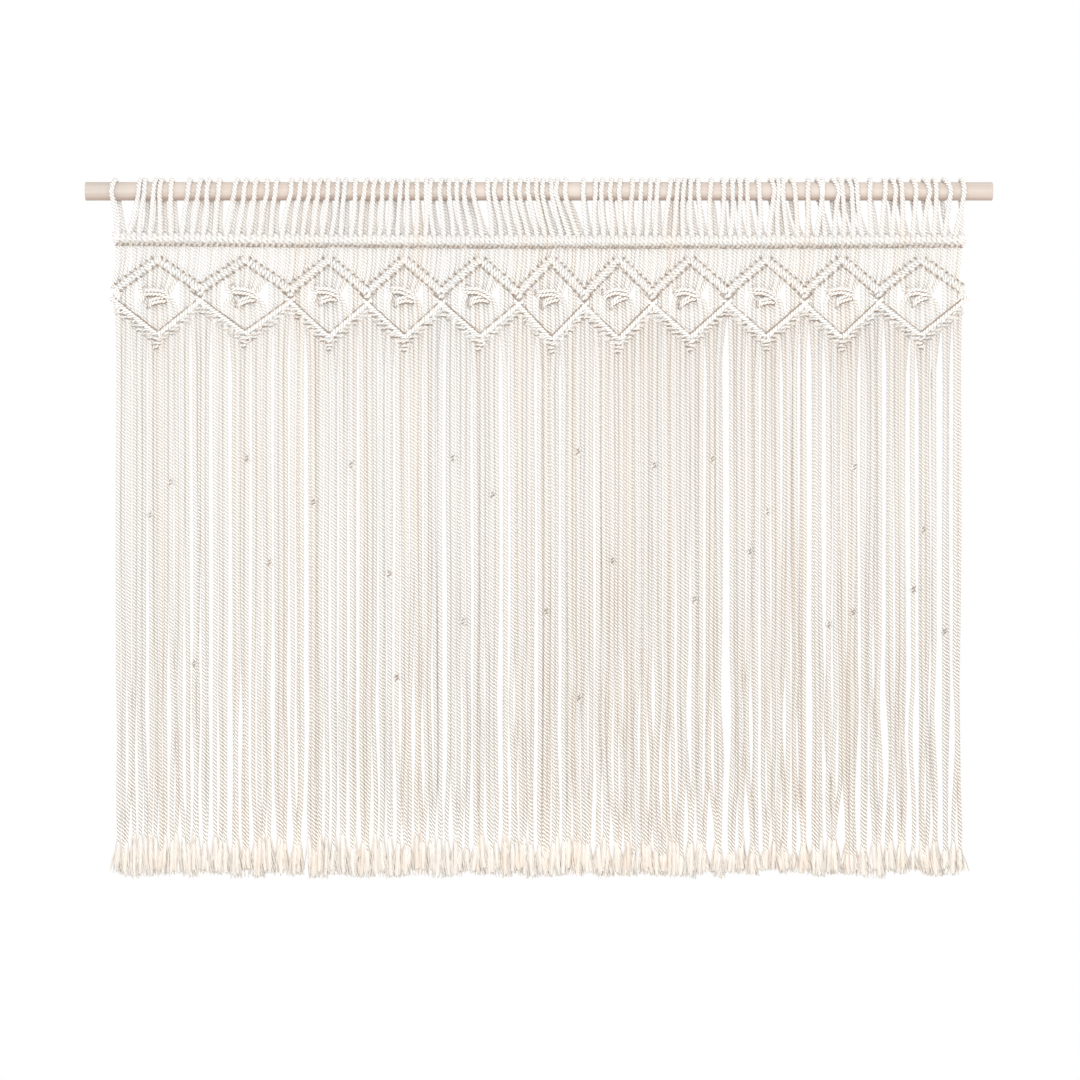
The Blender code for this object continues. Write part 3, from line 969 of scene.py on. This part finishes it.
def build_short_cords():
    """Cords from the straight bar down to the upper zigzag, with painted shade under the bar and
    where they meet the zigzag.
    """
    strands = Strands()
    for place in range(CORD_COUNT):
        x = place_x(place + 0.5)
        bar_z = header_height(x)
        fall_z = bar_z - upper_height(place + 0.5)
        foot_x = x - SHORT_CORD_LEAN * fall_z + around(0.6) * MM
        bow = varied(0.4, 2.4) * MM * smooth((fall_z - 22 * MM) / (20 * MM))
        # How dark their painted shade is, under the straight bar and at their feet
        dark = varied(0.6, 1.0)
        path, creases = [], []
        for below, crease in ((3.5, 0.6), (5.5, 0.6), (7.0, 0.4), (8.6, 0.12)):
            path.append(Vector((x, layer(place), bar_z - below * MM)))
            creases.append(crease * dark)
        foot = Vector((foot_x, layer(place), upper_height(place + 0.5) - 1 * MM))
        fall = along([path[-1], foot], POINT_SPACING)[1:]
        for step, point in enumerate(fall[:-1], start=1):
            point.x += bow * math.sin(math.pi * step / len(fall))
        path += fall
        creases += [0.10] * (len(fall) - 1) + [0.5]
        strands.add(path, TINTS[place], CHANCE.random(), crease=creases, thickness=0.94)
    rope_piece("short_cords", "knotted_band", strands)


def fan_path(place, first, knot_x):
    """A cord from the upper zigzag through the knot and out to the lower zigzag."""
    rank = place - first - GATHERED[0] - (len(GATHERED) - 1) / 2
    x = place_x(place + 0.5)
    top, foot = upper_height(place + 0.5), lower_height(place + 0.5)
    near_x = knot_x + rank * KNOT_PITCH
    y = layer(place)
    near_y = math.copysign(1.9 * MM, y)
    fanned = x - near_x
    above = 0.34 + (0.11 if rank < 0 else 0.02) * abs(rank)
    below = 0.52 + (0.10 if rank < 0 else 0.05) * abs(rank)
    return [
        Vector((x, y, top)),
        Vector((x - fanned * 0.08, y, top - 7 * MM)),
        Vector((near_x + fanned * above, near_y, KNOT_Z + KNOT_HALF + 2 * MM)),
        Vector((near_x, near_y, KNOT_Z)),
        Vector((near_x + fanned * below, near_y, KNOT_Z - KNOT_HALF - 2 * MM)),
        Vector((x - fanned * 0.03, y, foot + 9 * MM)),
        Vector((x, y, foot)),
    ]


# How far the straight cords beside the knot bow away to the left of it or to the right
BOWS = {2: -0.6 * MM, 3: -2.6 * MM, 12: 0.6 * MM, 13: 0.2 * MM}


def side_path(place, step):
    """A cord beside the knot, from one bar to the other."""
    x, y = place_x(place + 0.5), layer(place)
    top, foot = upper_height(place + 0.5), lower_height(place + 0.5)
    bow = BOWS.get(step, 0.0)
    bowed = ((0, 0), (0.25, 0.7), (0.5, 1), (0.75, 0.7), (1, 0))
    return [Vector((x + bow * part, y, top + (foot - top) * share)) for share, part in bowed]


def build_diamond_cords():
    """Cords inside the diamonds: a fan above and below each knot, straight near the corners."""
    strands = Strands()
    for diamond in DIAMONDS:
        first = diamond * CORDS_PER_DIAMOND
        knot_x = place_x(first + HALF_DIAMOND) + KNOT_SHIFT
        for step in range(CORDS_PER_DIAMOND):
            place = first + step
            path = fan_path(place, first, knot_x) if step in GATHERED else side_path(place, step)
            # A little painted shade all along them
            strands.add(path, TINTS[place], CHANCE.random(), crease=0.11, thickness=1.03)
    rope_piece("diamond_cords", "knotted_band", strands)


# The wrapping cord of a centre knot, in millimetres right, forward and up from its middle
KNOT_TURN = (
    (-13.0, 2.0, 6.0), (-9.0, 6.0, 3.0), (-2.0, 8.0, 3.6), (5.5, 8.0, 2.2), (10.5, 6.5, 0.2),
    (10.8, 6.0, -2.6), (5.0, 7.8, -3.2), (-2.5, 7.4, -6.2), (-6.5, 3.0, -10.0),
)
KNOT_BACK = (
    (-10.5, -2.0, 0.0), (-6.0, -6.6, 0.6), (0.0, -7.4, 0.0), (6.0, -6.6, -0.6), (10.5, -2.0, 0.0),
)
KNOT_DOUBLING = 3.6 * MM
KNOT_ROPE = 2.45 * MM


def knot_path(turns, centre, tilt, size):
    """The middle line of a knot's doubled cord."""
    cos, sin = math.cos(tilt), math.sin(tilt)
    path = []
    for right, forward, up in turns:
        right = (right + around(1.0)) * size
        up = (up + around(0.7)) * size
        turned = Vector((right * cos - up * sin, -forward, right * sin + up * cos))
        path.append(Vector(centre) + turned * MM)
    return path


def build_centre_knots(notches):
    """The gathered knot in the middle of each diamond: a doubled cord that turns back on itself,
    with painted shade where it tucks in and thin dark cords of painted shade between its turns.
    """
    strands = Strands()
    for diamond in DIAMONDS:
        station = diamond * CORDS_PER_DIAMOND + HALF_DIAMOND
        aside = KNOT_SHIFT + around(1.8) * MM
        centre = (place_x(station) + aside, 0.0, KNOT_Z + varied(-1.8, 1.4) * MM)
        tilt = math.radians(around(12))
        size = varied(0.90, 1.08)
        for turns in (KNOT_TURN, KNOT_BACK):
            path = knot_path(turns, centre, tilt, size)
            # Painted shade at both ends of the cord, where it tucks under
            creases = [0.8] + [0.0] * (len(path) - 2) + [0.8]
            for side in (-0.5, 0.5):
                beside = [point + Vector((0, 0, side * KNOT_DOUBLING)) for point in path]
                strands.add(beside, 0.45 + 0.1 * side, CHANCE.random(), crease=creases)
            if turns is KNOT_TURN:
                # Thin dark cords of painted shade in the notches between the turns
                for shift in (0.0, -KNOT_DOUBLING - 0.3 * MM):
                    between = [point + Vector((0, -1.2 * MM, shift)) for point in path[1:-1]]
                    notches.add(between, crease=0.9)
    rope_piece("centre_knots", "knotted_band", strands, KNOT_ROPE)


# The fringe

BUNCH_SIZES = (1, 1, 2, 2, 3, 3)
WIDE_BUNCH_SIZES = (1, 2, 2, 3, 4)


# Heights at which a bunching begins and the drop that it takes: where the cords change their
# bunches, and where they are drawn into tassels
TURNOVER, DRAWING_IN = (-0.28, 0.30), (-0.585, 0.06)
# The drop over which the cords part under the lower bar
OPENING_DROP = 45 * MM


def fallen(z, start, drop):
    """A gentle step from 0 to 1 as a height falls below a start by so much."""
    return smooth((start - z) / drop)


def bunch_shifts():
    """How far each hanging cord moves sideways as cords draw together into bunches."""
    shifts = []
    while len(shifts) < CORD_COUNT:
        x = place_x(len(shifts) + 0.5)
        right_third = x > 165 * MM
        count = CHANCE.choice(WIDE_BUNCH_SIZES if right_third else BUNCH_SIZES)
        count = min(count, CORD_COUNT - len(shifts))
        closing = 1.45 if right_third else 1.25 if abs(x) > 120 * MM else 0.95
        closing *= varied(0.6, 1.25)
        for rank in range(count):
            shifts.append(-(rank - (count - 1) / 2) * closing * MM)
    return shifts


def parting_shift(x, bunch):
    """How far the partings push a cord further aside, when its bunch has already moved it."""
    shift = 0.0
    for middle, width in PARTINGS:
        side = math.copysign(1.0, x - middle)
        overlap = width / 2 + HANGING_HALF - side * (x + bunch - middle)
        shift += side * max(overlap, 0.0)
    return shift


def fringe_paths():
    """Centre line of every hanging cord, with its lay at each point."""
    upper, lower, last = (bunch_shifts() for _ in range(3))
    paths = []
    for place in range(CORD_COUNT):
        x = place_x(place + 0.5)
        start_z = lower_height(place + 0.5) - 3 * MM
        right_share = smooth((x + 0.05) / 0.25)
        fray_z = FRAY_Z - right_share * 6 * MM + varied(-10, 8) * MM
        wave, phase = varied(0.2, 0.6) * MM, varied(0, 2 * math.pi)
        sway = around(1.3) * MM * (1 + 0.7 * right_share)
        beat = varied(12, 20)
        depth_wave = around(0.4) * MM
        path, lays = [], []
        for step in range(HANGING_STEPS + 1):
            share = step / HANGING_STEPS
            z = start_z + (fray_z - start_z) * share
            opening = fallen(z, start_z, OPENING_DROP)
            turnover = fallen(z, *TURNOVER)
            drawn = fallen(z, *DRAWING_IN)
            bunch = upper[place] + (lower[place] - upper[place]) * turnover
            bunch += (1.7 * last[place] - bunch) * drawn
            aside = parting_shift(x, bunch)
            shift = (bunch + aside) * opening
            shift += sway * math.sin(phase + beat * share) * smooth((share - 0.55) / 0.2)
            shift += wave * math.sin(phase + 9 * share) * opening
            pressed = 0.5 * smooth(abs(aside) / (3 * MM))
            depth = layer(place) * (1.15 - (0.15 - pressed) * opening) + depth_wave * opening
            depth *= 1 - 0.7 * smooth((share - 0.88) / 0.12)
            path.append(Vector((x + shift, depth, z)))
            lays.append(LAY + (LOOSE_LAY - LAY) * smooth((share - 0.75) / 0.25))
        paths.append((path, lays))
    return paths


def point_at_height(path, z):
    """Where a hanging cord passes a height."""
    for upper, lower in zip(path, path[1:]):
        if lower.z <= z <= upper.z:
            return upper.lerp(lower, (upper.z - z) / (upper.z - lower.z))
    return path[-1].copy()


FRINGE_GROUPS = ((0, 48), (48, 96), (96, 136), (136, 176))
# A little painted shade all over the hanging cords, in the crease colour, more near their tops
# and to the right
HANGING_PAINTED_SHADE = 0.17


def build_fringe_cords(paths):
    """The hanging cords, as four pieces from left to right."""
    for number, (first, last) in enumerate(FRINGE_GROUPS, start=1):
        strands = Strands()
        for place in range(first, last):
            path, lays = paths[place]
            full = varied(0.98, 1.05)
            deeper = 1 + 0.25 * smooth(path[0].x / 0.2)
            thickness, creases = [], []
            for step in range(len(path)):
                share = step / (len(path) - 1)
                creases.append(HANGING_PAINTED_SHADE * deeper * (1 + 0.45 * smooth(1 - 2.5 * share)))
                sunk = 1 - 0.35 * smooth((path[step].z - path[-1].z) / (-14 * MM) + 1)
                thickness.append(full * (1 - 0.12 * smooth(2 * share - 0.6)) * sunk)
            strands.add(path, TINTS[place], CHANCE.random(), lays, creases, thickness)
        rope_piece(f"fringe_cords_{number}", "fringe", strands)


# Radius and ring step of the loose knots' rope
LOOSE_KNOT_SHAPE = (1.9 * MM, 1.7 * MM)


def build_loose_knots(paths, notches):
    """Overhand knots left in single front cords, with short dark strokes of painted shade in their
    notches.
    """
    strands = Strands()
    for x, z in LOOSE_KNOTS:
        even = [p for p in range(0, CORD_COUNT, 2) if PLACES[p] <= x < PLACES[p + 2]]
        centre = point_at_height(paths[even[0]][0], z)
        centre.y -= 0.6 * MM
        for lean, shift, radius in ((38, 1.3, 2.5), (-24, -1.5, 2.2)):
            across = slanted(lean + around(8)) * radius * MM
            middle = centre + Vector((0, 0, shift * MM))
            add_hitch(strands, middle, across, 2.6 * MM, TINTS[even[0]], 0.3)
        # Short dark strokes of painted shade in the knot's notches
        for lift in (-1.7, 1.5):
            stroke = Vector((1.6, 0, 1.1)) * varied(0.6, 1.2) * MM
            front = centre + Vector((0, -4.1 * MM, lift * MM))
            add_notch(notches, front, stroke, 0.85)
    rope_piece("loose_knots", "fringe", strands, *LOOSE_KNOT_SHAPE)


YARNS_PER_END = 16
# Radius and ring step of the loose yarns
YARN_SHAPE = (0.75 * MM, 8 * MM)
# An end's core, whose thickness is its radius in millimetres: the unit, its ring step, the
# plies round it and how far in its grooves reach
CORE_SHAPE = (MM, 7 * MM, 7, 0.84)
BUNCH_LAYS = [lay * MM for lay in (24, 24, 40, 80, 120)]
# Half the width of an opened end from its root down, in millimetres, and that of its core
END_RADII = (1.4, 2.6, 4.0, 5.1, 5.6)
CORE_SHARES = (0.95, 0.85, 0.62, 0.50, 0.42)
# Half the depth of an opened end for each millimetre of half its width
END_FLATNESS = 0.38


def build_ends(paths):
    """The unravelled ends: each cord opens into a core with loose yarns all round it."""
    bunches, yarns = Strands(), Strands()
    for place in range(CORD_COUNT):
        root = paths[place][0][-1] + Vector((0, 0, 12 * MM))
        length = root.z - END_Z + varied(-5.0, 4.0) * MM
        lean = around(2.8) * MM
        radii = [radius * varied(0.86, 1.12) for radius in END_RADII]
        core = [radius * share for radius, share in zip(radii, CORE_SHARES)]
        line = []
        for step in range(len(radii)):
            share = step / (len(radii) - 1)
            line.append(root + Vector((lean * share * share, 0, -0.94 * length * share)))
        creases = [1.0, 0.8, 0.35, 0.05, 0.0]
        tint = TINTS[place]
        bunches.add(line, tint, CHANCE.random(), BUNCH_LAYS, creases, core)
        add_loose_yarns(yarns, line, radii, tint)
    rope_piece("unravelled_ends", "fringe", bunches, *CORE_SHAPE, YARN_FINISH)
    yarn_piece("loose_yarns", "fringe", yarns, YARN_FINISH, *YARN_SHAPE)


def add_loose_yarns(yarns, line, radii, tint):
    """Yarns over the surface of one opened end, a little longer or shorter than it."""
    for yarn in range(YARNS_PER_END):
        angle = 2 * math.pi * (yarn + CHANCE.random()) / YARNS_PER_END
        twist = varied(0.7, 1.8)
        reach = varied(0.97, 1.09)
        rim, splay = varied(0.62, 1.0), varied(-0.1, 0.25)
        stray = varied(-3.0, 4.0) * MM
        path = []
        for step, (middle, radius) in enumerate(zip(line, radii)):
            share = step / (len(line) - 1)
            turn = angle + twist * share
            spread_out = radius * (rim + splay * share)
            out = Vector((math.cos(turn), END_FLATNESS * math.sin(turn), 0)) * spread_out * MM
            drop = (line[0].z - middle.z) * (reach - 1)
            path.append(middle + out + Vector((stray * share * share, 0, -drop)))
        thickness = [0.5, 0.9, 1.0, 1.0, 0.8]
        shade = tint + around(0.06)
        yarns.add(path, shade, thickness=thickness)


# Floor, light and camera

def add_floor():
    """A plain pale floor below the hanging."""
    mesh = bpy.data.meshes.new("floor")
    half, z = 5.0, -1.9
    corners = [(-half, -half, z), (half, -half, z), (half, half, z), (-half, half, z)]
    mesh.from_pydata(corners, [], [(0, 1, 2, 3)])
    finish, _, shader = new_finish("pale_floor")
    shader.inputs["Base Color"].default_value = (0.86, 0.85, 0.83, 1.0)
    shader.inputs["Roughness"].default_value = 0.9
    mesh.materials.append(finish)
    new_object("floor", mesh)


def add_soft_light(name, place, size, power):
    """A large soft lamp that looks at the hanging."""
    lamp = bpy.data.lights.new(name, "AREA")
    lamp.shape = "DISK"
    lamp.size = size
    lamp.energy = power
    holder = new_object(name, lamp)
    holder.location = place
    holder.rotation_mode = "QUATERNION"
    aim = Vector((0, 0, -0.3)) - Vector(place)
    holder.rotation_quaternion = aim.to_track_quat("-Z", "Y")


def add_world():
    """White studio surroundings."""
    world = bpy.data.worlds.new("white_studio")
    world.use_nodes = True
    background = world.node_tree.nodes["Background"]
    background.inputs["Color"].default_value = (1.0, 1.0, 1.0, 1.0)
    background.inputs["Strength"].default_value = 1.0
    bpy.context.scene.world = world


def add_camera():
    """The front view, square on."""
    lens = bpy.data.cameras.new("front_view")
    lens.lens = VIEW_LENS
    lens.clip_end = 50
    camera = new_object("front_view", lens)
    camera.location = VIEW_CENTRE - Vector((0, VIEW_DISTANCE, 0))
    camera.rotation_euler = (math.radians(90), 0, 0)
    bpy.context.scene.camera = camera


def cord_tints():
    """A shade for every cord: mostly alike, with a few greyer and a few pinker ones."""
    tints = []
    drift = 0.45
    for _ in range(CORD_COUNT):
        drift += 0.6 * (0.48 - drift) + around(0.14)
        tints.append(min(max(drift + around(0.24), 0.0), 1.0))
    return tints


def dress_rod():
    """The rod keeps its own solid and gets its wood."""
    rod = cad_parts["rod"]
    rod.data.materials.clear()
    rod.data.materials.append(birch())


def build_all():
    """Every piece, in the order from the rod down."""
    dress_rod()
    band_notches, fringe_notches = Strands(), Strands()
    build_loops()
    build_header(band_notches)
    build_short_cords()
    build_upper_zigzag(band_notches)
    build_diamond_cords()
    build_centre_knots(band_notches)
    build_lower_zigzag(band_notches)
    # Thin dark cords of painted shade in the band's notches
    yarn_piece("painted_shade_cords_of_bars", "knotted_band", band_notches, ROPE_FINISH, *NOTCH_SHAPE)
    paths = fringe_paths()
    build_fringe_cords(paths)
    build_loose_knots(paths, fringe_notches)
    # Thin dark cords of painted shade in the loose knots' notches
    yarn_piece("painted_shade_cords_of_loose_knots", "fringe", fringe_notches, ROPE_FINISH, *NOTCH_SHAPE)
    build_ends(paths)


TINTS = cord_tints()
ROPE_TREE, YARN_TREE = twisted_rope_tree(), loose_yarn_tree()
ROPE_FINISH, YARN_FINISH = cotton_rope(), cotton_yarn()
build_all()
add_floor()
add_soft_light("key_light", (-1.3, -2.6, 1.4), 1.6, 9.0)
add_soft_light("fill_light", (0.2, -3.3, -0.2), 0.5, 61.0)
add_soft_light("back_light", (0.9, 2.6, 0.7), 1.6, 42.0)
add_world()
add_camera()
bpy.context.scene.view_settings.view_transform = "Standard"
